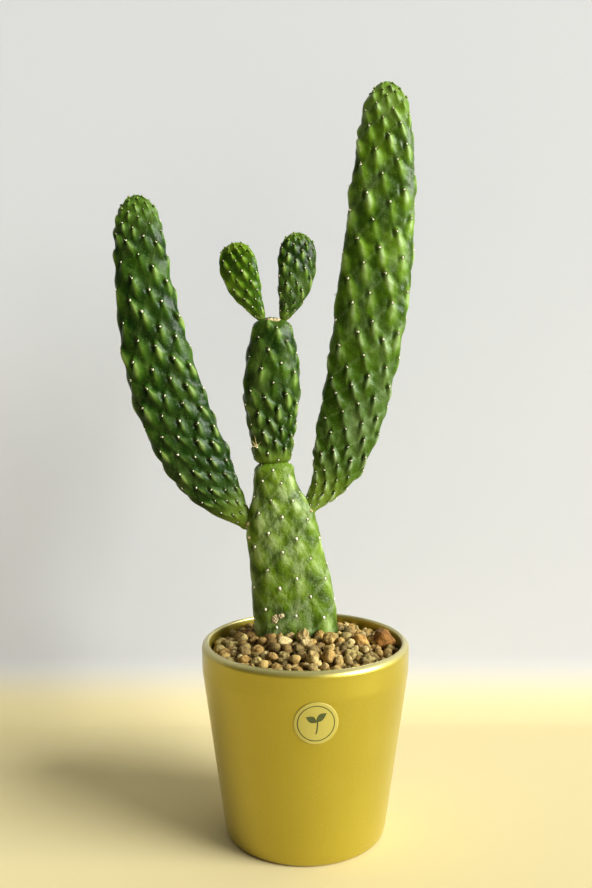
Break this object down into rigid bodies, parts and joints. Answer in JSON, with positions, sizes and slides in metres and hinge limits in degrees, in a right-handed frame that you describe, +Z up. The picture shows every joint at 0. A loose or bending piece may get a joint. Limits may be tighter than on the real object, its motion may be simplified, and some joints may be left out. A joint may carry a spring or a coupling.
{
  "type": "potted paddle cactus",
  "caption": "Tall branching cactus of flat, tubercled green pads growing from pebble-topped soil in a tapered round glazed pot with a plain round label.",
  "frame": {"origin": "centre of the pot's flat underside, on the surface that the pot stands on", "axes": "+Z up along the pot's axis, -Y towards the labelled front, +X towards the taller side paddle"},
  "size_m": [0.2014, 0.1401, 0.5058],
  "materials": {
    "glaze": "pearlescent gold glaze, satin to glossy",
    "label_paper": "satin film with a plain seedling mark",
    "clay_balls": "dull fired clay",
    "soil": "dull damp potting soil",
    "root": "dull corky root",
    "gravel": "dull mixed gravel",
    "stone_tan": "dull rough stone",
    "stone_pale": "dull rough stone",
    "stone_brown": "dull rough stone",
    "stone_grey": "dull speckled stone",
    "stone_rust": "dull rough stone",
    "stone_amber": "dull rough stone",
    "flesh": "waxy green plant skin",
    "young_flesh": "waxy bright green plant skin",
    "spine": "dry straw-coloured spines"
  },
  "bodies": {
    "root": {"pot": "glaze", "label": "label_paper", "drainage_gravel": "clay_balls", "potting_soil": "soil", "roots": "root", "gravel_bed": "gravel", "trunk_pad": "flesh", "middle_pad": "flesh", "left_paddle": "flesh", "right_paddle": "flesh", "left_young_pad": "young_flesh", "right_young_pad": "young_flesh", "spine_tuft": "spine", "pebble_01": "stone_rust", "pebble_02": "stone_amber", "pebble_03": "stone_brown", "pebble_04": "stone_grey", "pebble_05": "stone_tan", "pebble_06": "stone_pale", "pebble_07": "stone_brown", "pebble_08": "stone_grey", "pebble_09": "stone_tan", "pebble_10": "stone_pale", "pebble_11": "stone_brown", "pebble_12": "stone_grey", "pebble_13": "stone_tan", "pebble_14": "stone_pale", "pebble_15": "stone_brown", "pebble_16": "stone_grey", "pebble_17": "stone_tan", "pebble_18": "stone_pale", "pebble_19": "stone_brown", "pebble_20": "stone_grey", "pebble_21": "stone_tan", "pebble_22": "stone_pale", "pebble_23": "stone_brown", "pebble_24": "stone_grey", "pebble_25": "stone_tan", "pebble_26": "stone_pale", "pebble_27": "stone_brown", "pebble_28": "stone_grey", "pebble_29": "stone_tan", "pebble_30": "stone_pale", "pebble_31": "stone_brown", "pebble_32": "stone_grey", "pebble_33": "stone_tan", "pebble_34": "stone_pale", "pebble_35": "stone_brown", "pebble_36": "stone_grey", "pebble_37": "stone_tan", "pebble_38": "stone_pale", "pebble_39": "stone_brown", "pebble_40": "stone_grey", "pebble_41": "stone_tan", "pebble_42": "stone_pale", "pebble_43": "stone_brown", "pebble_44": "stone_grey"}
  },
  "joints": []
}
